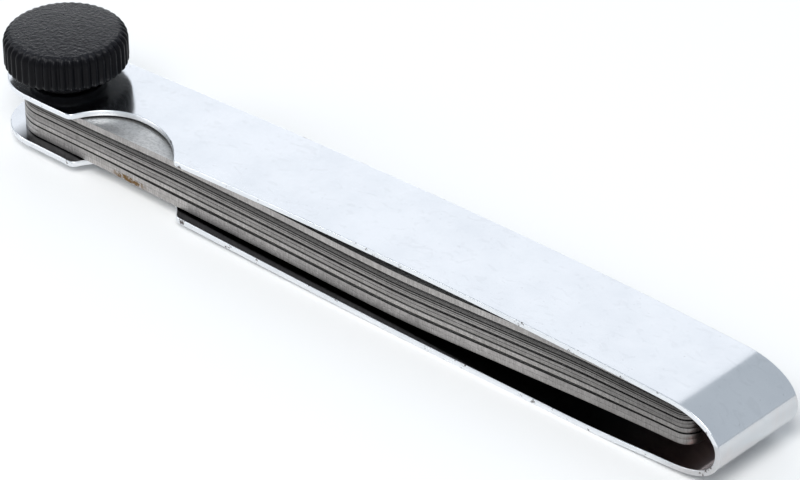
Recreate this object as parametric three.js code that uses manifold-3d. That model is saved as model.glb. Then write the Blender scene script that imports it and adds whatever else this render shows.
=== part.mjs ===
// Feeler gauge: thirteen spring-steel leaves in a folded sheet-steel holder, clamped by a knurled knob.
// Millimetres. +Z runs up the pivot axis and +X runs from the pivot to the folded end of the holder.
// The origin is the centre of the stud head's underside, on the plane that the gauge rests on.
import * as THREE from 'three';
import { mergeVertices } from 'three/addons/utils/BufferGeometryUtils.js';
import Module from 'manifold-3d';

const wasm = await Module();
wasm.setup();

// Leaves: nominal thicknesses from the top of the stack to the bottom.
const LEAF_THICKNESSES = [1.0, 0.05, 0.1, 0.15, 0.2, 0.25, 0.3, 0.4, 0.5, 0.6, 0.7, 0.8, 0.9];
const LEAF_GAP = 0.03;
const LEAF_WIDTH = 12;
const LEAF_REACH = 113.2;
const LEAF_HEEL = 5.9;
const LEAF_TIP_CORNER = 2.2;
const LEAF_HOLE_RADIUS = 2.09;

// Holder: one strip of sheet steel folded back on itself, bowed where the clamp draws its limbs together.
const SHEET = 0.8;
const HOLDER_WIDTH = 15;
const HOLDER_HEEL = 8.2;
const HOLDER_REACH = 119;
const HOLDER_HOLE_RADIUS = 2.09;
const CLAMP_FLAT = 5;
const LOWER_CLAMP_Z = 1.3;
const BELLY_START = 74;
const BELLY_END = 94;
const BEND_START = 111;
const BEND_LOWER_Z = 0.62;
const BEND_UPPER_Z = 10.78;
const BEND_APEX_Z = 5.7;

// Control points (x, z) of the bowed stretches between those stations.
const LOWER_BOW = [28, 0.92, 51, 0.06];
const LOWER_RISE = [101, 0, 106, 0.44];
const BEND_LOWER_HALF = [116, 0.8, HOLDER_REACH, 2.4];
const BEND_UPPER_HALF = [HOLDER_REACH, 8.4, 115.6, 10.58];
const UPPER_BOW = [76.4, 12.2, 40.7, 11.05];

// Thumb notch in the near side of both limbs.
const NOTCH_X = 15.8;
const NOTCH_DEPTH = 5.5;
const NOTCH_NEAR_RADIUS = 8.4;
const NOTCH_FAR_RADIUS = 14.2;
const NOTCH_CORNER = 1.2;

// Clamp: a stud staked in the lower limb, a plain washer, and a knob with a moulded-in threaded insert.
const STUD_RADIUS = 2;
const STUD_HEAD_RADIUS = 4;
const STUD_REACH_IN_KNOB = 4.2;
const WASHER_RADIUS = 4.4;
const WASHER_HOLE_RADIUS = 2.15;
const WASHER_THICKNESS = 0.5;
const KNOB_RADIUS = 8.4;
const KNOB_RIBS = 45;
const KNOB_RIB_DEPTH = 0.3;
const KNOB_GRIP_HEIGHT = 4.95;
const KNOB_CROWN_RADIUS = 1.5;
const KNOB_RIM_RADIUS = 0.8;
const KNOB_DOME_RISE = 0.35;
const KNOB_HUB_RADIUS = 5.2;
const KNOB_HUB_HEIGHT = 1.3;
const INSERT_RADIUS = 3;
const INSERT_FLANGE_RADIUS = 3.5;
const INSERT_FLANGE_HEIGHT = 0.5;
const INSERT_HEIGHT = 4;
const INSERT_BORE_RADIUS = 2.09;

// Running and seating clearances between separate pieces.
const SEAT_GAP = 0.03;
const MOULD_GAP = 0.03;
const ROUND_STEPS = 48;

const stackHeight = LEAF_THICKNESSES.reduce((sum, t) => sum + t + LEAF_GAP, LEAF_GAP);
const lowerInnerZ = LOWER_CLAMP_Z + SHEET;
const upperInnerZ = lowerInnerZ + stackHeight;
const upperClampZ = upperInnerZ + SHEET;
const washerZ = upperClampZ + SEAT_GAP;
const knobZ = washerZ + WASHER_THICKNESS + SEAT_GAP;
const gripZ = knobZ + KNOB_HUB_HEIGHT;
const gripTopZ = gripZ + KNOB_GRIP_HEIGHT;

const material = (color, roughness, metalness) =>
  new THREE.MeshStandardMaterial({ color, roughness, metalness });

const zincSteel = () => material(0xdfe4ea, 0.28, 1);
const springSteel = () => material(0x9b9893, 0.35, 1);
const blackPlastic = () => material(0x1b1b1d, 0.55, 0);
const blackSteel = () => material(0x2a2928, 0.5, 1);
const brass = () => material(0xc9a456, 0.35, 1);

// Booleans on closed geometries.
function solid(geometry) {
  const bare = geometry.clone();
  bare.deleteAttribute('normal');
  bare.deleteAttribute('uv');
  const merged = mergeVertices(bare, 1e-4);
  return new wasm.Manifold(new wasm.Mesh({
    numProp: 3,
    vertProperties: new Float32Array(merged.attributes.position.array),
    triVerts: new Uint32Array(merged.index.array),
  }));
}

function geometryOf(manifold) {
  const mesh = manifold.getMesh();
  const geometry = new THREE.BufferGeometry();
  geometry.setAttribute('position', new THREE.BufferAttribute(new Float32Array(mesh.vertProperties), 3));
  geometry.setIndex(new THREE.BufferAttribute(new Uint32Array(mesh.triVerts), 1));
  geometry.computeVertexNormals();
  return geometry;
}

// A plan outline raised from z = bottom to z = top.
function raise(shape, bottom, top, curveSegments = 12) {
  const geometry = new THREE.ExtrudeGeometry(shape, {
    depth: top - bottom,
    bevelEnabled: false,
    curveSegments,
  });
  return geometry.translate(0, 0, bottom);
}

// A profile of radius and height turned round the pivot axis.
function turn(profile) {
  const points = profile.map(([r, z]) => new THREE.Vector2(r, z));
  return new THREE.LatheGeometry(points, ROUND_STEPS).rotateX(Math.PI / 2);
}

function ring(outer, inner, bottom, top) {
  return turn([[inner, bottom], [outer, bottom], [outer, top], [inner, top], [inner, bottom]]);
}

function named(name, geometry, finish) {
  const mesh = new THREE.Mesh(geometry, finish);
  mesh.name = name;
  return mesh;
}

// Side view of the strip's outer surface, from the lower limb's heel round the bend to the upper heel.
function holderSide() {
  const path = new THREE.Path();
  path.moveTo(-HOLDER_HEEL - 1, LOWER_CLAMP_Z);
  path.lineTo(CLAMP_FLAT, LOWER_CLAMP_Z);
  path.bezierCurveTo(...LOWER_BOW, BELLY_START, 0);
  path.lineTo(BELLY_END, 0);
  path.bezierCurveTo(...LOWER_RISE, BEND_START, BEND_LOWER_Z);
  path.bezierCurveTo(...BEND_LOWER_HALF, HOLDER_REACH, BEND_APEX_Z);
  path.bezierCurveTo(...BEND_UPPER_HALF, BEND_START, BEND_UPPER_Z);
  path.bezierCurveTo(...UPPER_BOW, CLAMP_FLAT, upperClampZ);
  path.lineTo(-HOLDER_HEEL - 1, upperClampZ);
  return path.getPoints(9);
}

// The strip's section: the outer surface and the same line set in by the sheet's thickness.
function holderStrip() {
  const outer = holderSide();
  const inner = outer.map((point, i) => {
    const before = outer[Math.max(i - 1, 0)];
    const after = outer[Math.min(i + 1, outer.length - 1)];
    const along = after.clone().sub(before).normalize();
    return point.clone().add(new THREE.Vector2(-along.y, along.x).multiplyScalar(SHEET));
  });
  const section = new THREE.Shape([...outer, ...inner.reverse()]);
  const geometry = new THREE.ExtrudeGeometry(section, { depth: HOLDER_WIDTH + 2, bevelEnabled: false });
  return geometry.rotateX(Math.PI / 2).translate(0, HOLDER_WIDTH / 2 + 1, 0);
}

// Where a corner arc, tangent to the holder's side, meets a notch arc of the given radius.
function notchCorner(radius) {
  const half = HOLDER_WIDTH / 2;
  const arcY = NOTCH_DEPTH - half - radius;
  const rise = NOTCH_CORNER - half - arcY;
  const run = Math.sqrt((radius + NOTCH_CORNER) ** 2 - rise ** 2);
  return { arcY, run, angle: Math.atan2(rise, run) };
}

// Plan view of the holder: full-round heel, straight sides, and a thumb notch steeper towards the pivot.
function holderPlan() {
  const half = HOLDER_WIDTH / 2;
  const heelX = half - HOLDER_HEEL;
  const near = notchCorner(NOTCH_NEAR_RADIUS);
  const far = notchCorner(NOTCH_FAR_RADIUS);
  const cornerY = NOTCH_CORNER - half;
  const right = Math.PI / 2;
  const shape = new THREE.Shape();
  shape.moveTo(HOLDER_REACH + 2, half);
  shape.lineTo(heelX, half);
  shape.absarc(heelX, 0, half, right, 3 * right, false);
  shape.absarc(NOTCH_X - near.run, cornerY, NOTCH_CORNER, -right, -near.angle, false);
  shape.absarc(NOTCH_X, near.arcY, NOTCH_NEAR_RADIUS, Math.PI - near.angle, right, true);
  shape.absarc(NOTCH_X, far.arcY, NOTCH_FAR_RADIUS, right, far.angle, true);
  shape.absarc(NOTCH_X + far.run, cornerY, NOTCH_CORNER, Math.PI + far.angle, 3 * right, false);
  shape.lineTo(HOLDER_REACH + 2, -half);
  shape.closePath();
  return shape;
}

function holder() {
  const plan = solid(raise(holderPlan(), -1, upperClampZ + 4, 10));
  const hole = solid(new THREE.CylinderGeometry(HOLDER_HOLE_RADIUS, HOLDER_HOLE_RADIUS, 30, ROUND_STEPS)
    .rotateX(Math.PI / 2));
  return named('holder', geometryOf(solid(holderStrip()).intersect(plan).subtract(hole)), zincSteel());
}

// Plan view of a leaf: round heel, parallel sides, tip with rounded corners, and the pivot hole.
function leafPlan() {
  const half = LEAF_WIDTH / 2;
  const heelX = half - LEAF_HEEL;
  const cornerX = LEAF_REACH - LEAF_TIP_CORNER;
  const cornerY = half - LEAF_TIP_CORNER;
  const shape = new THREE.Shape();
  shape.moveTo(heelX, half);
  shape.absarc(heelX, 0, half, Math.PI / 2, 1.5 * Math.PI, false);
  shape.absarc(cornerX, -cornerY, LEAF_TIP_CORNER, -Math.PI / 2, 0, false);
  shape.absarc(cornerX, cornerY, LEAF_TIP_CORNER, 0, Math.PI / 2, false);
  shape.closePath();
  const hole = new THREE.Path();
  hole.absarc(0, 0, LEAF_HOLE_RADIUS, 0, 2 * Math.PI, true);
  shape.holes.push(hole);
  return shape;
}

function leaves() {
  const fan = new THREE.Group();
  const plan = leafPlan();
  let top = upperInnerZ - LEAF_GAP;
  for (const thickness of LEAF_THICKNESSES) {
    const label = 'leaf_' + thickness.toFixed(2).replace('.', '_') + 'mm';
    fan.add(named(label, raise(plan, top - thickness, top, 14), springSteel()));
    top -= thickness + LEAF_GAP;
  }
  return fan;
}

function stud() {
  const profile = [
    [0, 0],
    [STUD_HEAD_RADIUS - 0.3, 0],
    [STUD_HEAD_RADIUS, 0.3],
    [STUD_HEAD_RADIUS, LOWER_CLAMP_Z - SEAT_GAP],
    [STUD_RADIUS, LOWER_CLAMP_Z - SEAT_GAP],
    [STUD_RADIUS, knobZ + STUD_REACH_IN_KNOB - 0.4],
    [STUD_RADIUS - 0.4, knobZ + STUD_REACH_IN_KNOB],
    [0, knobZ + STUD_REACH_IN_KNOB],
  ];
  return named('pivot_stud', turn(profile), zincSteel());
}

function washer() {
  const geometry = ring(WASHER_RADIUS, WASHER_HOLE_RADIUS, washerZ, washerZ + WASHER_THICKNESS);
  return named('washer', geometry, blackSteel());
}

// The insert's outline, grown by `gap` for the pocket that the knob is moulded round it with.
function insertProfile(gap) {
  const bottom = knobZ;
  return [
    [INSERT_FLANGE_RADIUS + gap, bottom],
    [INSERT_FLANGE_RADIUS + gap, bottom + INSERT_FLANGE_HEIGHT + gap],
    [INSERT_RADIUS + gap, bottom + INSERT_FLANGE_HEIGHT + gap],
    [INSERT_RADIUS + gap, bottom + INSERT_HEIGHT + gap],
  ];
}

function knobInsert() {
  const profile = [
    [INSERT_BORE_RADIUS, knobZ],
    ...insertProfile(0),
    [INSERT_BORE_RADIUS, knobZ + INSERT_HEIGHT],
    [INSERT_BORE_RADIUS, knobZ],
  ];
  return named('knob_insert', turn(profile), brass());
}

// The knurled outline: a scalloped circle with one crest for each rib.
function knurlPlan() {
  const samples = KNOB_RIBS * 2;
  const points = [];
  for (let i = 0; i < samples; i += 1) {
    const angle = (i / samples) * 2 * Math.PI;
    const radius = KNOB_RADIUS - KNOB_RIB_DEPTH * (0.5 - 0.5 * Math.cos(angle * KNOB_RIBS));
    points.push(new THREE.Vector2(radius * Math.cos(angle), radius * Math.sin(angle)));
  }
  return new THREE.Shape(points);
}

// Points on a quarter circle in the (radius, height) plane, angles in quarter turns, both ends included.
function quarterRound(radius, height, size, from, to) {
  const points = [];
  for (let step = 0; step <= 4; step += 1) {
    const angle = (from + (to - from) * step / 4) * Math.PI / 2;
    points.push([radius + size * Math.cos(angle), height + size * Math.sin(angle)]);
  }
  return points;
}

function knob() {
  const pocketTop = knobZ + INSERT_HEIGHT + MOULD_GAP;
  const body = [
    [0, knobZ - 1],
    [KNOB_HUB_RADIUS, knobZ - 1],
    [KNOB_HUB_RADIUS, gripZ],
    ...quarterRound(KNOB_RADIUS - KNOB_RIM_RADIUS, gripZ + KNOB_RIM_RADIUS, KNOB_RIM_RADIUS, -1, 0),
    ...quarterRound(KNOB_RADIUS - KNOB_CROWN_RADIUS, gripTopZ - KNOB_CROWN_RADIUS, KNOB_CROWN_RADIUS, 0, 1),
    [KNOB_RADIUS / 2, gripTopZ + KNOB_DOME_RISE * 0.7],
    [0, gripTopZ + KNOB_DOME_RISE],
  ];
  const below = solid(raise(knurlPlan(), knobZ, gripTopZ + 2));
  const pocket = solid(turn([[0, knobZ - 1], [INSERT_FLANGE_RADIUS + MOULD_GAP, knobZ - 1],
    ...insertProfile(MOULD_GAP), [0, pocketTop]]));
  const clearance = solid(new THREE.CylinderGeometry(STUD_RADIUS + 0.3, STUD_RADIUS + 0.3, 2, ROUND_STEPS)
    .rotateX(Math.PI / 2).translate(0, 0, pocketTop - 0.5));
  return named('knob', geometryOf(solid(turn(body)).intersect(below).subtract(pocket).subtract(clearance)),
    blackPlastic());
}

const gauge = new THREE.Group();
gauge.add(holder(), leaves(), stud(), washer(), knobInsert(), knob());

export default gauge;
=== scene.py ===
import math

import bmesh
import bpy
from mathutils import Matrix, Vector


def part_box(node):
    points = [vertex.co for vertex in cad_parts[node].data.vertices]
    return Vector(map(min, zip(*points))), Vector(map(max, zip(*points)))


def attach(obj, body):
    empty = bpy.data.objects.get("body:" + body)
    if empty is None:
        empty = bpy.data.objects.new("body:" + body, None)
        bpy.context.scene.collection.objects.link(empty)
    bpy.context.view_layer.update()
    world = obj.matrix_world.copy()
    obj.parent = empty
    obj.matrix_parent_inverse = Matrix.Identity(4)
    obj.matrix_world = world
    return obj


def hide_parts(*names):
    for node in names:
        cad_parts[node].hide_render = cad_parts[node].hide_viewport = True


# Feeler gauge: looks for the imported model. Lengths below are millimetres unless a name says otherwise;
# meshes are scaled to metres as they are made.

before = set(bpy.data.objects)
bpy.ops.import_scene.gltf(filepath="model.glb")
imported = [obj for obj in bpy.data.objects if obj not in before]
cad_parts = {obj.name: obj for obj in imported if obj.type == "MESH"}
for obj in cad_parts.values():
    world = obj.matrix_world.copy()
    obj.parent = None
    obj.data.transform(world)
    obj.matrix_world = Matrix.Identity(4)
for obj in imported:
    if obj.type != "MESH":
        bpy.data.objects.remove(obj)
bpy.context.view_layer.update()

MM = 0.001

# ---------------------------------------------------------------- places read off the frame
holder_low, holder_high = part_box("holder")
washer_low, washer_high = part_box("washer")
knob_low, knob_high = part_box("knob")
stud_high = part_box("pivot_stud")[1]
HEEL_X = holder_low.x / MM
REACH_X = holder_high.x / MM
HALF_WIDTH = holder_high.y / MM
WASHER_Z = washer_low.z / MM
WASHER_TOP_Z = washer_high.z / MM
KNOB_Z = knob_low.z / MM
KNOB_TOP_Z = knob_high.z / MM
STUD_TOP_Z = stud_high.z / MM

# ---------------------------------------------------------------- the strip, as in the CAD source
SHEET = 0.8
CLAMP_FLAT = 5.0
LOWER_CLAMP_Z = 1.3
BELLY_START = 74.0
BELLY_END = 94.0
BEND_START = 111.0
BEND_LOWER_Z = 0.62
BEND_UPPER_Z = 10.78
BEND_APEX_Z = 5.7
# The two handles, (x, z), of each curve in the strip's outer line.
LOWER_BOW = ((28, 0.92), (51, 0.06))
LOWER_RISE = ((101, 0), (106, 0.44))
BEND_LOWER_HALF = ((116, 0.8), (REACH_X, 2.4))
BEND_UPPER_HALF = ((REACH_X, 8.4), (115.6, 10.58))
UPPER_BOW = ((76.4, 12.2), (40.7, 11.05))
HOLE_RADIUS = 2.09
NOTCH_X = 15.8
NOTCH_DEPTH = 5.5
NOTCH_NEAR_RADIUS = 8.4
NOTCH_FAR_RADIUS = 14.2
NOTCH_CORNER = 1.2
UPPER_CLAMP_Z = WASHER_Z - 0.03

# ---------------------------------------------------------------- helpers


def new_object(name, bm, materials, smooth_angle=35.0):
    """A mesh object from a bmesh in millimetres."""
    mesh = bpy.data.meshes.new(name)
    bm.to_mesh(mesh)
    bm.free()
    mesh.transform(Matrix.Scale(MM, 4))
    for m in materials:
        mesh.materials.append(m)
    for p in mesh.polygons:
        p.use_smooth = True
    mesh.set_sharp_from_angle(angle=math.radians(smooth_angle))
    obj = bpy.data.objects.new(name, mesh)
    bpy.context.scene.collection.objects.link(obj)
    weighted = obj.modifiers.new("weighted", "WEIGHTED_NORMAL")
    weighted.keep_sharp = True
    weighted.weight = 60
    return obj


def smoothstep(a, b, x):
    t = min(1.0, max(0.0, (x - a) / (b - a)))
    return t * t * (3 - 2 * t)


def arc(cx, cy, r, start, end, steps):
    """Points on an arc, angles in radians, ends included."""
    angles = [start + (end - start) * i / steps for i in range(steps + 1)]
    return [(cx + r * math.cos(a), cy + r * math.sin(a)) for a in angles]


def spline(table, x):
    """Smooth interpolation through (x, value) pairs."""
    if x <= table[0][0]:
        return table[0][1]
    if x >= table[-1][0]:
        return table[-1][1]
    for i in range(len(table) - 1):
        x0, v0 = table[i]
        x1, v1 = table[i + 1]
        if x0 <= x <= x1:
            before = table[max(i - 1, 0)]
            after = table[min(i + 2, len(table) - 1)]
            m0 = (v1 - before[1]) / (x1 - before[0])
            m1 = (after[1] - v0) / (after[0] - x0)
            h = x1 - x0
            t = (x - x0) / h
            return (
                (2 * t**3 - 3 * t**2 + 1) * v0
                + (t**3 - 2 * t**2 + t) * h * m0
                + (-2 * t**3 + 3 * t**2) * v1
                + (t**3 - t**2) * h * m1
            )
    return table[-1][1]


def outline_faces(bm, loops):
    """Adds a face for each list of (x, y) points. Faces share the points that they have in common."""
    seen = {}
    for loop in loops:
        verts = []
        for x, y in loop:
            key = (round(x, 5), round(y, 5))
            if key not in seen:
                seen[key] = bm.verts.new((x, y, 0))
            if not verts or verts[-1] is not seen[key]:
                verts.append(seen[key])
        if verts[0] is verts[-1]:
            verts.pop()
        bm.faces.new(verts)


def thicken(bm, thickness, rounds, segments=2, faces=(0, 0), rims=(1, 1)):
    """Raises the flat faces by the thickness and rounds the rims. The sides get material 1.

    rounds, faces and rims are (bottom, top) pairs: how far each rim is rounded, and the material of each face
    and of each rounded rim."""
    bottom = list(bm.faces)
    made = bmesh.ops.extrude_face_region(bm, geom=bottom)
    top = [v for v in made["geom"] if isinstance(v, bmesh.types.BMVert)]
    for v in top:
        v.co.z += thickness
    bmesh.ops.recalc_face_normals(bm, faces=bm.faces)
    for f in bm.faces:
        f.material_index = 1 if abs(f.normal.z) < 0.5 else faces[1] if f.normal.z > 0 else faces[0]
    for level, offset, material in ((0.0, rounds[0], rims[0]), (thickness, rounds[1], rims[1])):
        rim = [
            e for e in bm.edges
            if len(e.link_faces) == 2
            and all(abs(v.co.z - level) < 1e-6 for v in e.verts)
            and {abs(f.normal.z) > 0.5 for f in e.link_faces} == {True, False}
        ]
        bmesh.ops.bevel(bm, geom=rim, offset=offset, segments=segments, profile=0.5, affect="EDGES",
                        clamp_overlap=True, material=material)
    bm.normal_update()


def slice_along(bm, stations):
    """Cuts the mesh across X at each station, so that it can be bent."""
    for x in stations:
        geom = list(bm.verts) + list(bm.edges) + list(bm.faces)
        bmesh.ops.bisect_plane(bm, geom=geom, dist=1e-5, plane_co=(x, 0, 0), plane_no=(1, 0, 0))


# ---------------------------------------------------------------- the strip's path


def bezier(p0, p1, p2, p3, steps):
    out = []
    for i in range(1, steps + 1):
        t = i / steps
        a, b, c, d = (1 - t) ** 3, 3 * t * (1 - t) ** 2, 3 * t * t * (1 - t), t**3
        x = a * p0[0] + b * p1[0] + c * p2[0] + d * p3[0]
        z = a * p0[1] + b * p1[1] + c * p2[1] + d * p3[1]
        out.append((x, z))
    return out


path = [(HEEL_X, LOWER_CLAMP_Z), (CLAMP_FLAT, LOWER_CLAMP_Z)]
path += bezier(path[-1], *LOWER_BOW, (BELLY_START, 0), 60)
path += [(BELLY_END, 0)]
path += bezier(path[-1], *LOWER_RISE, (BEND_START, BEND_LOWER_Z), 24)
path += bezier(path[-1], *BEND_LOWER_HALF, (REACH_X, BEND_APEX_Z), 60)
path += bezier(path[-1], *BEND_UPPER_HALF, (BEND_START, BEND_UPPER_Z), 60)
path += bezier(path[-1], *UPPER_BOW, (CLAMP_FLAT, UPPER_CLAMP_Z), 90)
path += [(HEEL_X, UPPER_CLAMP_Z)]
lengths = [0.0]
for a, b in zip(path, path[1:]):
    lengths.append(lengths[-1] + math.dist(a, b))
apex = max(range(len(path)), key=lambda i: path[i][0])


def along(s):
    """(x, z) on the strip's outer line at arc length s, and the unit normal that points into the loop."""
    s = min(max(s, 0.0), lengths[-1])
    lo, hi = 0, len(lengths) - 1
    while hi - lo > 1:
        mid = (lo + hi) // 2
        if lengths[mid] <= s:
            lo = mid
        else:
            hi = mid
    t = (s - lengths[lo]) / (lengths[hi] - lengths[lo])
    x = path[lo][0] + t * (path[hi][0] - path[lo][0])
    z = path[lo][1] + t * (path[hi][1] - path[lo][1])

    def tangent(i):
        p, q = path[max(i - 1, 0)], path[min(i + 1, len(path) - 1)]
        d = math.dist(p, q)
        return (q[0] - p[0]) / d, (q[1] - p[1]) / d

    t0, t1 = tangent(lo), tangent(hi)
    tx, tz = t0[0] + t * (t1[0] - t0[0]), t0[1] + t * (t1[1] - t0[1])
    n = math.hypot(tx, tz)
    return x, z, -tz / n, tx / n


def flat_length(x, upper):
    """Arc length of the strip where a limb's outer line is at x."""
    span = range(apex, len(path) - 1) if upper else range(0, apex)
    for i in span:
        a, b = path[i], path[i + 1]
        if min(a[0], b[0]) - 1e-9 <= x <= max(a[0], b[0]) + 1e-9 and abs(b[0] - a[0]) > 1e-9:
            return lengths[i] + (x - a[0]) / (b[0] - a[0]) * (lengths[i + 1] - lengths[i])
    return lengths[-1] if upper else 0.0


def notch_points():
    """The thumb notch in plan, from the pivot side to the bend side."""
    half = HALF_WIDTH
    out = []
    corner_y = NOTCH_CORNER - half
    right = math.pi / 2

    def corner(radius):
        arc_y = NOTCH_DEPTH - half - radius
        rise = corner_y - arc_y
        run = math.sqrt((radius + NOTCH_CORNER) ** 2 - rise**2)
        return arc_y, run, math.atan2(rise, run)

    near_y, near_run, near_angle = corner(NOTCH_NEAR_RADIUS)
    far_y, far_run, far_angle = corner(NOTCH_FAR_RADIUS)
    out += arc(NOTCH_X - near_run, corner_y, NOTCH_CORNER, -right, -near_angle, 6)
    out += arc(NOTCH_X, near_y, NOTCH_NEAR_RADIUS, math.pi - near_angle, right, 14)[1:]
    out += arc(NOTCH_X, far_y, NOTCH_FAR_RADIUS, right, far_angle, 16)[1:]
    out += arc(NOTCH_X + far_run, corner_y, NOTCH_CORNER, math.pi + far_angle, 3 * right, 6)[1:]
    return out


def strip_blank():
    """The strip cut flat, as (s, y) outlines: a heel cap at each end, beyond the pivot hole, and the rest."""
    half = HALF_WIDTH
    heel_x = half + HEEL_X
    loops = []
    middle = {}
    for upper in (False, True):
        place = lambda p, u=upper: (flat_length(p[0], u), p[1])
        quarter = math.pi / 2
        # the heel's arc, from the near side round to the far side
        heel = arc(heel_x, 0, half, quarter + math.pi, quarter, 40)
        near_edge = [(0.0, -half)]
        far_edge = [(0.0, half)]
        hole_left = arc(0, 0, HOLE_RADIUS, quarter, 3 * quarter, 16)
        hole_right = arc(0, 0, HOLE_RADIUS, -quarter, quarter, 16)
        cap = near_edge + heel + far_edge + hole_left
        loops.append([place(p) for p in cap])
        side = near_edge + notch_points()
        middle[upper] = (
            [place(p) for p in side],
            [place(p) for p in far_edge],
            [place(p) for p in hole_right],
        )
    near_lower, far_lower, hole_lower = middle[False]
    near_upper, far_upper, hole_upper = middle[True]
    body = near_lower + near_upper[::-1] + hole_upper + far_upper + far_lower + hole_lower[::-1]
    loops.append(body)
    return loops


def strip():
    bm = bmesh.new()
    outline_faces(bm, strip_blank())
    thicken(bm, SHEET, (0.13, 0.13), 3, (0, 2))
    total = lengths[-1]
    stations = []
    s = 4.0
    bend_from = flat_length(BEND_START - 4, False)
    bend_to = flat_length(BEND_START - 2, True)
    while s < total - 4:
        stations.append(s)
        s += 0.42 if bend_from < s < bend_to else 3.1
    slice_along(bm, stations)
    for v in bm.verts:
        x, z, nx, nz = along(v.co.x)
        y, h = v.co.y, v.co.z
        v.co = Vector((x + nx * h, y, z + nz * h))
    bmesh.ops.recalc_face_normals(bm, faces=bm.faces)
    return bm


# ---------------------------------------------------------------- leaves
LEAVES = [1.0, 0.05, 0.1, 0.15, 0.2, 0.25, 0.3, 0.4, 0.5, 0.6, 0.7, 0.8, 0.9]
TIP_CORNER = 2.2
# Height of the stack's underside along X, where the free leaves bow inside the holder.
SAG = [(6, 2.13), (12, 2.12), (21, 1.93), (31, 1.8), (39, 1.74), (48, 1.6), (57, 1.42), (66, 1.4), (74, 1.74),
       (83, 2.2), (91, 2.6), (99, 2.98), (107, 3.27), (113.2, 3.42)]
# The air that has crept in above each leaf, at its widest.
AIR = {0.8: 0.21, 0.7: 0.15, 0.6: 0.04, 0.5: 0.13, 0.4: 0.02, 0.3: 0.02, 0.25: 0.05, 0.05: 0.08}
# Leaves whose upper, or lower, edge has a rounder corner painted near black: painted shade in the gaps, the
# dark lines along the stack.
PAINTED_SHADE_ABOVE = (0.8, 0.5, 0.3, 0.25, 0.1, 0.05)
PAINTED_SHADE_BELOW = (0.7, 0.6, 0.4, 0.2, 0.05, 1.0)
LOWEST_LEAF = LEAVES[-1]
FINE_EDGE = 0.016
WIDE_EDGE = 0.11
LOWEST_EDGE = 0.2


def leaf_name(t):
    return "leaf_" + f"{t:.2f}".replace(".", "_") + "mm"


def leaf_mesh(name, t, stack_below):
    low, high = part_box(name)
    half = high.y / MM
    reach = high.x / MM
    heel = low.x / MM
    heel_x = heel + half
    base = low.z / MM
    quarter = math.pi / 2
    heel_arc = arc(heel_x, 0, half, 3 * quarter, quarter, 36)
    cap_arc = [p for p in heel_arc if p[0] < -1e-6]
    cut_y = math.sqrt(half**2 - heel_x**2)
    hole_left = arc(0, 0, HOLE_RADIUS, quarter, 3 * quarter, 14)
    hole_right = arc(0, 0, HOLE_RADIUS, -quarter, quarter, 14)
    cap = [(0.0, -cut_y)] + cap_arc + [(0.0, cut_y)] + hole_left
    tip = arc(reach - TIP_CORNER, TIP_CORNER - half, TIP_CORNER, -quarter, 0, 8)
    tip += arc(reach - TIP_CORNER, half - TIP_CORNER, TIP_CORNER, 0, quarter, 8)
    rest_near = [p for p in heel_arc if p[0] > 1e-6 and p[1] < 0][::-1]
    rest_far = [p for p in heel_arc if p[0] > 1e-6 and p[1] > 0][::-1]
    body = [(0.0, -cut_y)] + rest_near + tip + rest_far + [(0.0, cut_y)] + hole_right[::-1]
    bm = bmesh.new()
    outline_faces(bm, [cap, body])
    fine = min(FINE_EDGE, t * 0.15)
    wide = min(WIDE_EDGE, t * 0.3)
    # the rims listed here get material 2, painted near black as the shade in the gaps between leaves
    painted_shade_rims = (t in PAINTED_SHADE_BELOW, t in PAINTED_SHADE_ABOVE)
    rounds = [wide if g else fine for g in painted_shade_rims]
    steps = 2
    if t == LOWEST_LEAF:
        rounds[0] = LOWEST_EDGE
        steps = 3
    thicken(bm, t, rounds, steps, rims=tuple(2 if g else 1 for g in painted_shade_rims))
    slice_along(bm, [6 + 3.6 * i for i in range(30) if 6 + 3.6 * i < reach - 3])
    air = sum(AIR.get(u, 0.0) for u in stack_below)
    for v in bm.verts:
        x = v.co.x
        puff = smoothstep(7, 28, x) * (1 - 0.85 * smoothstep(92, 110, x))
        bow = spline(SAG, x) - SAG[0][1]
        v.co.z += base + bow + air * puff
    bmesh.ops.recalc_face_normals(bm, faces=bm.faces)
    return bm


# ---------------------------------------------------------------- turned pieces


def lathe(profile, steps, radius_at=None, closed=True):
    """A ring mesh of (radius, z) pairs turned round Z. radius_at(angle, r, z) may shape each ring."""
    bm = bmesh.new()
    rings = []
    for r, z in profile:
        if r < 1e-6:
            rings.append([bm.verts.new((0, 0, z))])
            continue
        ring = []
        for i in range(steps):
            angle = 2 * math.pi * i / steps
            rr = radius_at(angle, r, z) if radius_at else r
            ring.append(bm.verts.new((rr * math.cos(angle), rr * math.sin(angle), z)))
        rings.append(ring)
    pairs = list(zip(rings, rings[1:]))
    if closed:
        pairs.append((rings[-1], rings[0]))
    for a, b in pairs:
        if len(a) == 1 and len(b) == 1:
            continue
        for i in range(steps):
            j = (i + 1) % steps
            if len(a) == 1:
                bm.faces.new((a[0], b[j], b[i]))
            elif len(b) == 1:
                bm.faces.new((a[i], a[j], b[0]))
            else:
                bm.faces.new((a[i], a[j], b[j], b[i]))
    bmesh.ops.recalc_face_normals(bm, faces=bm.faces)
    return bm


def round_corner(cx, cz, r, start, end, steps):
    """Points on an arc of a profile, angles in degrees."""
    angles = [math.radians(start + (end - start) * i / steps) for i in range(steps + 1)]
    return [(cx + r * math.cos(a), cz + r * math.sin(a)) for a in angles]


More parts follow.
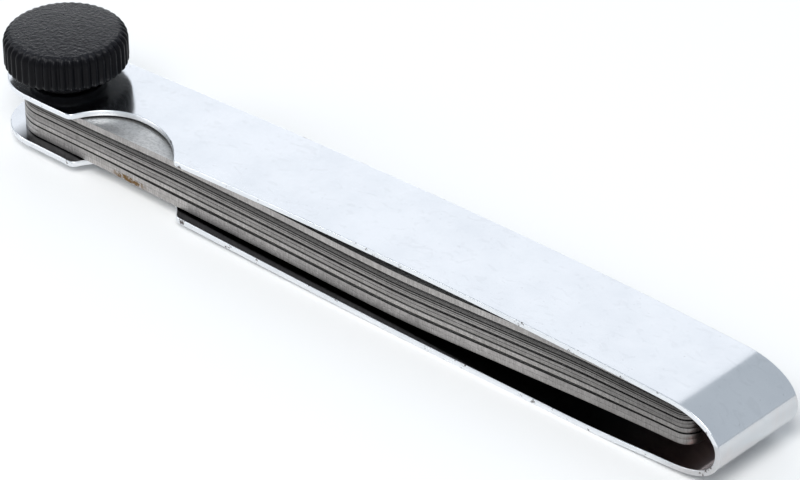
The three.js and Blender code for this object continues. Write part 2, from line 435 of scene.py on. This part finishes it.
RIBS = 45
RIB_STEPS = 12
RIB_DEPTH = 0.33
RIB_SHARPNESS = 1.3
RIB_FADE_START = 1.35
RIB_FADE_END = 0.3
CROWN_RADIUS = 1.5
RIM_RADIUS = 0.8
HUB_RADIUS = 5.2
HUB_HEIGHT = 1.3
DOME_RISE = 0.35
GRIP_Z = KNOB_Z + HUB_HEIGHT
EDGE_Z = KNOB_TOP_Z - DOME_RISE
KNOB_RADIUS = min(knob_high.x, knob_high.y, -knob_low.x, -knob_low.y) / MM
CROWN_FINISH_DEPTH = 0.4
POCKET_RADIUS = 3.03
POCKET_FLANGE = 3.53
POCKET_FLANGE_DEPTH = 0.53
POCKET_DEPTH = 4.03
STUD_ROOM_RADIUS = 2.3
STUD_ROOM_HEIGHT = 0.5
HUB_EDGE = 0.25
HUB_FILLET = 0.3
CHAMFER = 0.05


def knob_mesh():
    crown_z = EDGE_Z - CROWN_RADIUS
    p = [(POCKET_FLANGE, KNOB_Z + CHAMFER), (POCKET_FLANGE + CHAMFER, KNOB_Z)]
    p += round_corner(HUB_RADIUS - HUB_EDGE, KNOB_Z + HUB_EDGE, HUB_EDGE, -90, 0, 4)
    p += [(HUB_RADIUS, GRIP_Z - HUB_FILLET)]
    p += round_corner(HUB_RADIUS + HUB_FILLET, GRIP_Z - HUB_FILLET, HUB_FILLET, 180, 90, 4)[1:]
    p += [(HUB_RADIUS + 4 * HUB_FILLET, GRIP_Z)]
    p += round_corner(KNOB_RADIUS - RIM_RADIUS, GRIP_Z + RIM_RADIUS, RIM_RADIUS, -90, 0, 7)
    low = GRIP_Z + RIM_RADIUS
    p += [(KNOB_RADIUS, low + (crown_z - low) * i / 4) for i in range(1, 4)]
    p += round_corner(KNOB_RADIUS - CROWN_RADIUS, crown_z, CROWN_RADIUS, 0, 84, 12)
    last_r, last_z = p[-1]
    for i in range(1, 12):
        r = last_r * (1 - i / 12)
        p.append((r, last_z + (KNOB_TOP_Z - last_z) * (1 - (r / last_r) ** 2)))
    p.append((0, KNOB_TOP_Z))

    def ribbed(angle, r, z):
        outer = smoothstep(KNOB_RADIUS - RIB_FADE_START, KNOB_RADIUS - RIB_FADE_END, r)
        if z < GRIP_Z - 0.01 or outer <= 0:
            return r
        groove = (0.5 - 0.5 * math.cos(angle * RIBS)) ** RIB_SHARPNESS
        return r - RIB_DEPTH * groove * outer

    # the outside from the hub's bottom to the crown, with the crown's finish on top and the grip's below
    bm = lathe(p, RIBS * RIB_STEPS, ribbed, closed=False)
    for f in bm.faces:
        f.material_index = 0 if f.calc_center_median().z > EDGE_Z - CROWN_FINISH_DEPTH else 1

    # the pocket for the insert, and the room above it for the stud's end
    pocket_top = KNOB_Z + POCKET_DEPTH
    pocket = [
        p[0],
        (POCKET_FLANGE, KNOB_Z + POCKET_FLANGE_DEPTH),
        (POCKET_RADIUS, KNOB_Z + POCKET_FLANGE_DEPTH),
        (POCKET_RADIUS, pocket_top),
        (STUD_ROOM_RADIUS, pocket_top),
        (STUD_ROOM_RADIUS, pocket_top + STUD_ROOM_HEIGHT),
        (0, pocket_top + STUD_ROOM_HEIGHT),
    ]
    inside = lathe(pocket, 96, closed=False)
    mesh = bpy.data.meshes.new("pocket")
    inside.to_mesh(mesh)
    inside.free()
    bm.from_mesh(mesh)
    bpy.data.meshes.remove(mesh)
    return bm


WASHER_HOLE_RADIUS = 2.15
WASHER_HOLE_CHAMFER = 0.1
WASHER_LOWER_EDGE = 0.06
WASHER_UPPER_EDGE = 0.15


def washer_mesh():
    outer, inner = washer_high.x / MM, WASHER_HOLE_RADIUS
    lower, upper = WASHER_LOWER_EDGE, WASHER_UPPER_EDGE
    p = [(inner, WASHER_Z + CHAMFER), (inner + CHAMFER, WASHER_Z)]
    p += round_corner(outer - lower, WASHER_Z + lower, lower, -90, 0, 2)
    p += round_corner(outer - upper, WASHER_TOP_Z - upper, upper, 0, 90, 5)
    p += [(inner + WASHER_HOLE_CHAMFER, WASHER_TOP_Z), (inner, WASHER_TOP_Z - WASHER_HOLE_CHAMFER)]
    return lathe(p, 96)


STUD_RADIUS = 2.0
STUD_GAP = 0.03
HEAD_EDGE = 0.3
HEAD_LIP = 0.12
THREAD_START_Z = 8.6
THREAD_RUN_IN = 0.8
THREAD_PITCH = 0.7
THREAD_DEPTH = 0.36
THREAD_STEPS = 10
STUD_END_RADIUS = 1.5
STUD_END_HEIGHT = 0.15
STUD_END_CHAMFER = 0.3


def stud_mesh():
    head = stud_high.x / MM
    head_top = LOWER_CLAMP_Z - STUD_GAP
    thread_end = STUD_TOP_Z - STUD_END_HEIGHT
    p = [(0, 0.0), (head - 0.55, 0.0)]
    p += round_corner(head - HEAD_EDGE, HEAD_EDGE, HEAD_EDGE, -70, 0, 5)
    p += round_corner(head - HEAD_LIP, head_top - HEAD_LIP, HEAD_LIP, 0, 90, 3)
    p += [(STUD_RADIUS, head_top), (STUD_RADIUS, 2.0), (STUD_RADIUS, 8.3)]
    steps = int((thread_end - THREAD_START_Z) / THREAD_PITCH * THREAD_STEPS)
    rings = range(steps + 1)
    p += [(STUD_RADIUS - 0.01, THREAD_START_Z + (thread_end - THREAD_START_Z) * i / steps) for i in rings]
    p += [(STUD_END_RADIUS, STUD_TOP_Z), (0, STUD_TOP_Z)]

    def threaded(angle, r, z):
        if z < THREAD_START_Z - 0.15 or r < STUD_END_RADIUS + 0.1:
            return r
        turn = ((z - THREAD_START_Z) / THREAD_PITCH - angle / (2 * math.pi)) % 1.0
        ridge = abs(2 * turn - 1)
        depth = THREAD_DEPTH * min(1.0, max(0.0, (ridge - 0.1) / 0.72))
        run_in = smoothstep(THREAD_START_Z, THREAD_START_Z + THREAD_RUN_IN, z)
        chamfer = STUD_END_CHAMFER * smoothstep(STUD_TOP_Z - 0.75, thread_end, z)
        return min(STUD_RADIUS - depth * run_in, STUD_RADIUS - chamfer)

    return lathe(p, 64, threaded, closed=False)


# ---------------------------------------------------------------- materials


class Nodes:
    def __init__(self, name):
        self.material = bpy.data.materials.new(name)
        self.material.use_nodes = True
        self.tree = self.material.node_tree
        self.shader = self.tree.nodes["Principled BSDF"]
        self.place = self.tree.nodes.new("ShaderNodeTexCoord").outputs["Object"]

    def link(self, a, b):
        self.tree.links.new(a, b)

    def mapped(self, scale, rotation=(0, 0, 0)):
        m = self.tree.nodes.new("ShaderNodeMapping")
        m.inputs["Scale"].default_value = scale
        m.inputs["Rotation"].default_value = rotation
        self.link(self.place, m.inputs["Vector"])
        return m.outputs["Vector"]

    def noise(self, scale, detail=4.0, rough=0.55, stretch=(1, 1, 1), distortion=0.0, rotation=(0, 0, 0)):
        n = self.tree.nodes.new("ShaderNodeTexNoise")
        n.inputs["Scale"].default_value = scale
        n.inputs["Detail"].default_value = detail
        n.inputs["Roughness"].default_value = rough
        n.inputs["Distortion"].default_value = distortion
        self.link(self.mapped(stretch, rotation), n.inputs["Vector"])
        return n.outputs["Fac"]

    def cells(self, scale, stretch):
        n = self.tree.nodes.new("ShaderNodeTexVoronoi")
        n.feature = "SMOOTH_F1"
        n.inputs["Scale"].default_value = scale
        self.link(self.mapped(stretch), n.inputs["Vector"])
        return n.outputs["Distance"]

    def ramp(self, value, stops):
        """Colour by value. stops are (position, grey or colour) pairs."""
        n = self.tree.nodes.new("ShaderNodeValToRGB")
        while len(n.color_ramp.elements) < len(stops):
            n.color_ramp.elements.new(0.5)
        for e, (at, c) in zip(n.color_ramp.elements, stops):
            e.position = at
            e.color = (c, c, c, 1) if isinstance(c, float) else (*c, 1)
        self.link(value, n.inputs["Fac"])
        return n.outputs["Color"]

    def mix(self, how, fac, a, b):
        n = self.tree.nodes.new("ShaderNodeMix")
        n.data_type = "RGBA"
        n.blend_type = how
        for socket, value in ((n.inputs["Factor"], fac), (n.inputs["A"], a), (n.inputs["B"], b)):
            if isinstance(value, bpy.types.NodeSocket):
                self.link(value, socket)
            elif isinstance(value, tuple):
                socket.default_value = (*value, 1)
            else:
                socket.default_value = value
        return n.outputs["Result"]

    def math(self, how, a, b):
        n = self.tree.nodes.new("ShaderNodeMath")
        n.operation = how
        for socket, value in ((n.inputs[0], a), (n.inputs[1], b)):
            if isinstance(value, bpy.types.NodeSocket):
                self.link(value, socket)
            else:
                socket.default_value = value
        return n.outputs[0]

    def rise(self, value, nought, one):
        """A smooth step from 0 where the value is nought to 1 where it is one."""
        n = self.tree.nodes.new("ShaderNodeMapRange")
        n.interpolation_type = "SMOOTHSTEP"
        n.inputs["From Min"].default_value = nought
        n.inputs["From Max"].default_value = one
        self.link(value, n.inputs["Value"])
        return n.outputs[0]

    def axis(self, which):
        n = self.tree.nodes.new("ShaderNodeSeparateXYZ")
        self.link(self.place, n.inputs[0])
        return n.outputs[which]

    def colour(self, c):
        socket = self.shader.inputs["Base Color"]
        if isinstance(c, bpy.types.NodeSocket):
            self.link(c, socket)
        else:
            socket.default_value = (*c, 1)

    def roughness(self, value):
        self.link(value, self.shader.inputs["Roughness"])

    def bump(self, height, distance, strength=1.0, under=None):
        n = self.tree.nodes.new("ShaderNodeBump")
        n.inputs["Distance"].default_value = distance
        n.inputs["Strength"].default_value = strength
        self.link(height, n.inputs["Height"])
        if under is not None:
            self.link(under, n.inputs["Normal"])
        return n.outputs["Normal"]

    def normal(self, n):
        self.link(n, self.shader.inputs["Normal"])


# The stain along X on the lowest leaf's edge, in metres: where it fades in, and where it fades out again.
STAIN_START = (0.0136, 0.0152)
STAIN_END = (0.0208, 0.0186)
STAIN_BROWN = (0.17, 0.095, 0.03)
# painted shade for the strip's inner faces, and its browner tint at the bend
PAINTED_SHADE_INSIDE = (0.05, 0.05, 0.052)
PAINTED_SHADE_BROWN = (0.17, 0.11, 0.1)
CHIPPED = (0.12, 0.105, 0.1)


def zinc(name, dark=1.0, chips=False, painted_inside_shade=False):
    """Bright zinc plate: faint clouds and water marks, and a fine grain.

    chips adds dark chips, for cut edges. The last flag adds painted shade over the strip's inner faces, dark
    and browner at the bend, which stops short of the heel; without it the bend's outer face gets painted
    shade low down."""
    n = Nodes(name)
    n.shader.inputs["Metallic"].default_value = 1.0
    dull = tuple(dark * c for c in (0.835, 0.86, 0.89))
    bright = tuple(dark * c for c in (0.9, 0.92, 0.945))
    clouds = n.ramp(n.noise(140, 5, 0.6), [(0.3, dull), (0.62, bright)])
    marks = n.ramp(n.noise(420, 3, 0.5, (1, 1.6, 1), 1.2), [(0.34, 0.965), (0.42, 1.0)])
    base = n.mix("MULTIPLY", 1.0, clouds, marks)
    specks = n.ramp(n.noise(2600, 2, 0.5), [(0.24, 0.86), (0.3, 1.0)])
    base = n.mix("MULTIPLY", 1.0, base, specks)
    if chips:
        where = n.ramp(n.noise(620, 4, 0.7), [(0.62, 0.0), (0.68, 1.0)])
        base = n.mix("MIX", where, base, CHIPPED)
    if painted_inside_shade:
        # painted shade over the inner faces: dark from just inside the heel, browner at the bend
        heel_to_bend = n.math("ADD", n.math("MULTIPLY", n.axis(0), 7.5), 0.08)
        stops = [(0.046, (1.0, 1.0, 1.0)), (0.0725, PAINTED_SHADE_INSIDE), (0.83, PAINTED_SHADE_INSIDE), (0.93, PAINTED_SHADE_BROWN)]
        base = n.mix("MULTIPLY", 1.0, base, n.ramp(heel_to_bend, stops))
    else:
        # painted shade: the bend's outer face is darker below about 7 mm, dimming the reflection there
        at_bend = n.ramp(n.math("MULTIPLY", n.axis(0), 5.0), [(0.54, 0.0), (0.57, 1.0)])
        low = n.ramp(n.math("MULTIPLY", n.axis(2), 50.0), [(0.346, 1.0), (0.362, 0.0)])
        warm, cool = (0.70, 0.67, 0.655), (0.69, 0.705, 0.71)
        painted_bend_shade = n.ramp(n.noise(170, 3, 0.5, (0.5, 1, 1), 0.8), [(0.35, warm), (0.6, cool)])
        base = n.mix("MULTIPLY", n.math("MULTIPLY", at_bend, low), base, painted_bend_shade)
    n.colour(base)
    smooth, rough = (0.24, 0.36) if chips else (0.11, 0.17)
    n.roughness(n.ramp(n.noise(210, 4, 0.6, (0.5, 1, 1)), [(0.3, smooth), (0.7, rough)]))
    fine = n.bump(n.noise(5200, 2, 0.5), 0.000004, 0.5)
    n.normal(n.bump(n.noise(260, 3, 0.5), 0.000014, 0.35, fine))
    return n.material


def spring_steel(name, seed):
    """Ground spring steel, for a leaf's faces: grain along the leaf, clouds and fine pits."""
    n = Nodes(name)
    n.shader.inputs["Metallic"].default_value = 1.0
    grain = n.noise(900, 4, 0.65, (0.05, 1, 1))
    stain = n.noise(90, 4, 0.6, (1, 1, 1), 0.6, (0, 0, seed))
    tone = n.ramp(grain, [(0.3, (0.62, 0.615, 0.605)), (0.7, (0.76, 0.755, 0.745))])
    cloud = n.ramp(stain, [(0.32, 0.84), (0.6, 1.0)])
    pits = n.noise(3400, 3, 0.65, (0.6, 1, 1))
    speckled = n.mix("MULTIPLY", 1.0, cloud, n.ramp(pits, [(0.32, 0.72), (0.56, 1.0)]))
    n.colour(n.mix("MULTIPLY", 1.0, tone, speckled))
    n.roughness(n.ramp(n.noise(700, 3, 0.6, (0.08, 1, 1)), [(0.3, 0.42), (0.7, 0.56)]))
    n.normal(n.bump(grain, 0.00002, 0.5, n.bump(pits, 0.00001, 0.4)))
    return n.material


def sheared_edge(name, seed, level, stained=False):
    """Upright grain on a leaf's cut edge, with painted shade towards the tip. stained adds a brown stain at
    the notch.
    """
    n = Nodes(name)
    n.shader.inputs["Metallic"].default_value = 1.0
    upright = n.noise(5200, 4, 0.7, (1, 1, 0.16))
    patches = n.noise(160, 5, 0.65, (1, 1, 1.5), 0.3, (0, 0, seed))
    dark_steel = tuple(level * c for c in (0.27, 0.255, 0.245))
    light_steel = tuple(level * c for c in (0.50, 0.478, 0.462))
    tone = n.ramp(upright, [(0.3, dark_steel), (0.68, light_steel)])
    shade = n.mix("MULTIPLY", 1.0, tone, n.ramp(patches, [(0.3, 0.76), (0.62, 1.0)]))
    # painted shade: the edge darkens from about X 82 mm to the tip, inside the bend
    painted_tip_shade = n.ramp(n.math("MULTIPLY", n.axis(0), 5.0), [(0.41, 1.0), (0.53, 0.62)])
    tone = n.mix("MULTIPLY", 1.0, shade, painted_tip_shade)
    if stained:
        inside = n.math("MULTIPLY", n.rise(n.axis(0), *STAIN_START), n.rise(n.axis(0), *STAIN_END))
        spots = n.ramp(n.noise(1500, 4, 0.5), [(0.4, 0.0), (0.52, 1.0)])
        tone = n.mix("MIX", n.math("MULTIPLY", inside, spots), tone, STAIN_BROWN)
    n.colour(tone)
    n.roughness(n.ramp(n.noise(1500, 3, 0.6, (1, 1, 0.2)), [(0.3, 0.36), (0.7, 0.52)]))
    n.normal(n.bump(upright, 0.00003, 0.7))
    return n.material


def black_plastic(name, shine):
    """Moulded black plastic with a leather grain on its crown, which fades out down the ribs."""
    n = Nodes(name)
    n.shader.inputs["Specular IOR Level"].default_value = shine
    height_share = n.math("MULTIPLY", n.axis(2), 1 / (KNOB_TOP_Z * MM))
    crown = n.ramp(height_share, [(0.93, 0.0), (0.975, 1.0)])
    # the crown's tone is a little lighter than the grip's: a painted sheen
    tone = n.ramp(n.noise(500, 4, 0.6), [(0.3, (0.003, 0.003, 0.005)), (0.7, (0.007, 0.007, 0.010))])
    n.colour(n.mix("MIX", crown, (0.003, 0.003, 0.004), tone))
    n.roughness(n.ramp(n.noise(900, 3, 0.6), [(0.3, 0.27), (0.7, 0.39)]))
    creases = n.cells(2100, (1, 1, 0.4))
    pebbles = n.noise(2600, 3, 0.55, (1, 1, 0.4), 0.8)
    both = n.math("ADD", n.math("MULTIPLY", creases, 0.6), pebbles)
    height = n.math("MULTIPLY", both, n.ramp(height_share, [(0.93, 0.25), (0.975, 1.0)]))
    n.normal(n.bump(height, 0.00017, 0.75))
    return n.material


def near_black_steel(name):
    """Near-black steel with a faint brown bloom: painted shade, so the washer reads as the dark gap under the
    knob.
    """
    n = Nodes(name)
    n.shader.inputs["Metallic"].default_value = 0.6
    n.colour(n.ramp(n.noise(700, 4, 0.6), [(0.3, (0.012, 0.012, 0.013)), (0.7, (0.03, 0.028, 0.026))]))
    n.roughness(n.ramp(n.noise(1300, 3, 0.6), [(0.3, 0.42), (0.7, 0.58)]))
    n.normal(n.bump(n.noise(2500, 3, 0.6), 0.00001, 0.5))
    return n.material


def brass(name):
    n = Nodes(name)
    n.shader.inputs["Metallic"].default_value = 1.0
    turned = n.noise(1400, 3, 0.6, (1, 1, 6))
    n.colour(n.ramp(turned, [(0.3, (0.62, 0.45, 0.2)), (0.7, (0.78, 0.6, 0.3))]))
    n.roughness(n.ramp(turned, [(0.3, 0.25), (0.7, 0.4)]))
    n.normal(n.bump(turned, 0.00001, 0.4))
    return n.material


# ---------------------------------------------------------------- pieces
holder_face = zinc("holder_plate")
holder_edge = zinc("holder_cut_edge", 0.95, True)
fastener = zinc("fastener_plate", 0.93)

# the strip's inner faces, in painted shade
holder_inside = zinc("holder_inside", 0.95, painted_inside_shade=True)
holder = new_object("holder_strip", strip(), [holder_face, holder_edge, holder_inside])
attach(holder, "holder")
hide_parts("holder")

stud = new_object("threaded_stud", stud_mesh(), [fastener], 40)
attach(stud, "holder")
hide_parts("pivot_stud")

# the washer is near black: painted shade in the gap under the knob
washer = new_object("plain_washer", washer_mesh(), [near_black_steel("washer_black")])
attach(washer, "washer")
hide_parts("washer")

knob_finishes = [black_plastic("knob_crown", 0.22), black_plastic("knob_grip", 0.1)]
knob = new_object("knurled_knob", knob_mesh(), knob_finishes, 60)
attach(knob, "knob")
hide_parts("knob")

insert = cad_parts["knob_insert"]
insert.data.materials.clear()
insert.data.materials.append(brass("insert_brass"))

# How light each leaf's sheared edge is: painted light and shade, the same steel made lighter or darker leaf
# by leaf. The thinnest leaves aren't listed and share one level.
PAINTED_THIN_EDGE_LEVEL = 0.42
PAINTED_EDGE_LEVELS = {
    1.0: 1.17, 0.9: 1.25, 0.8: 1.2, 0.7: 1.2, 0.6: 0.86, 0.5: 0.86, 0.4: 0.86, 0.3: 0.76, 0.25: 0.6,
}
faces = [spring_steel("leaf_face_a", 0.4), spring_steel("leaf_face_b", 1.9)]
# near-black edge for the rounded rims: painted shade in the gaps between leaves
painted_gap_shade = sheared_edge("leaf_grime", 3.1, 0.07)
for index, thickness in enumerate(LEAVES):
    node = leaf_name(thickness)
    below = LEAVES[index + 1:]
    level = PAINTED_EDGE_LEVELS.get(thickness, PAINTED_THIN_EDGE_LEVEL)
    edge_name = node.replace("leaf_", "leaf_edge_").replace("mm", "")
    edge = sheared_edge(edge_name, 0.7 * index, level, thickness == LOWEST_LEAF)
    leaf = new_object("steel_" + node, leaf_mesh(node, thickness, below), [faces[index % 2], edge, painted_gap_shade])
    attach(leaf, node)
    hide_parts(node)

# ---------------------------------------------------------------- floor, light, camera
floor_mesh = bpy.data.meshes.new("floor")
bm = bmesh.new()
bmesh.ops.create_grid(bm, x_segments=1, y_segments=1, size=6.0)
bm.to_mesh(floor_mesh)
bm.free()
floor = bpy.data.objects.new("floor", floor_mesh)
bpy.context.scene.collection.objects.link(floor)
floor.location.z = -0.00002
floor_nodes = Nodes("floor")
floor_nodes.colour((0.96, 0.955, 0.945))
floor_nodes.shader.inputs["Roughness"].default_value = 0.9
floor_nodes.shader.inputs["Specular IOR Level"].default_value = 0.0
floor_mesh.materials.append(floor_nodes.material)

scene = bpy.context.scene
world = bpy.data.worlds.new("studio")
scene.world = world
world.use_nodes = True
background = world.node_tree.nodes["Background"]
background.inputs["Strength"].default_value = 0.58
background.inputs["Color"].default_value = (0.80, 0.875, 0.96, 1)


def softbox(name, centre, toward, size, power, tint=(1, 1, 1)):
    light = bpy.data.lights.new(name, "AREA")
    light.shape = "RECTANGLE"
    light.size, light.size_y = size
    light.energy = power
    light.color = tint
    obj = bpy.data.objects.new(name, light)
    obj.location = centre
    obj.rotation_mode = "QUATERNION"
    obj.rotation_quaternion = (Vector(toward) - Vector(centre)).to_track_quat("-Z", "Y")
    scene.collection.objects.link(obj)


CARD_DISTANCE = 1.1
middle = Vector((0.055, 0, 0.005))
# the plate mirrors this card along its whole length, and the bend only mirrors the world above it
card = Vector((-0.597, 0.638, 0.485)).normalized()
softbox("card_behind", middle + card * CARD_DISTANCE, middle, (0.56, 0.7), 0.60, (1.0, 0.985, 1.0))
# a soft light on the back of the knob's crown
low = Vector((-0.72, 0.62, 0.19)).normalized()
softbox("low_behind", middle + low * CARD_DISTANCE, middle, (0.6, 0.2), 0.95)
softbox("key", middle + Vector((0.5, -0.9, 1.5)), middle, (0.9, 0.9), 20.0, (1.0, 0.995, 0.985))
softbox("left_fill", middle + Vector((-1.2, -0.8, 0.7)), middle, (0.7, 0.6), 6.0)

camera_data = bpy.data.cameras.new("camera")
camera_data.type = "PERSP"
camera_data.sensor_width = 36.0
camera_data.lens = 251.47
camera_data.clip_start = 0.01
camera_data.clip_end = 50
camera = bpy.data.objects.new("camera", camera_data)
scene.collection.objects.link(camera)
AZIMUTH = math.radians(43.122)
ELEVATION = math.radians(32.85)
ROLL = math.radians(-1.2025)
CAMERA_DISTANCE = 0.714757
CAMERA_AIM = Vector((0.057316, 0.002855, 0.005783))
facing = Matrix.Rotation(AZIMUTH, 4, "Z") @ Matrix.Rotation(math.pi / 2 - ELEVATION, 4, "X")
turn = facing @ Matrix.Rotation(ROLL, 4, "Z")
backwards = turn.to_3x3() @ Vector((0, 0, 1))
camera.matrix_world = Matrix.Translation(CAMERA_AIM + backwards * CAMERA_DISTANCE) @ turn
scene.camera = camera
scene.view_settings.view_transform = "Standard"
scene.view_settings.look = "None"
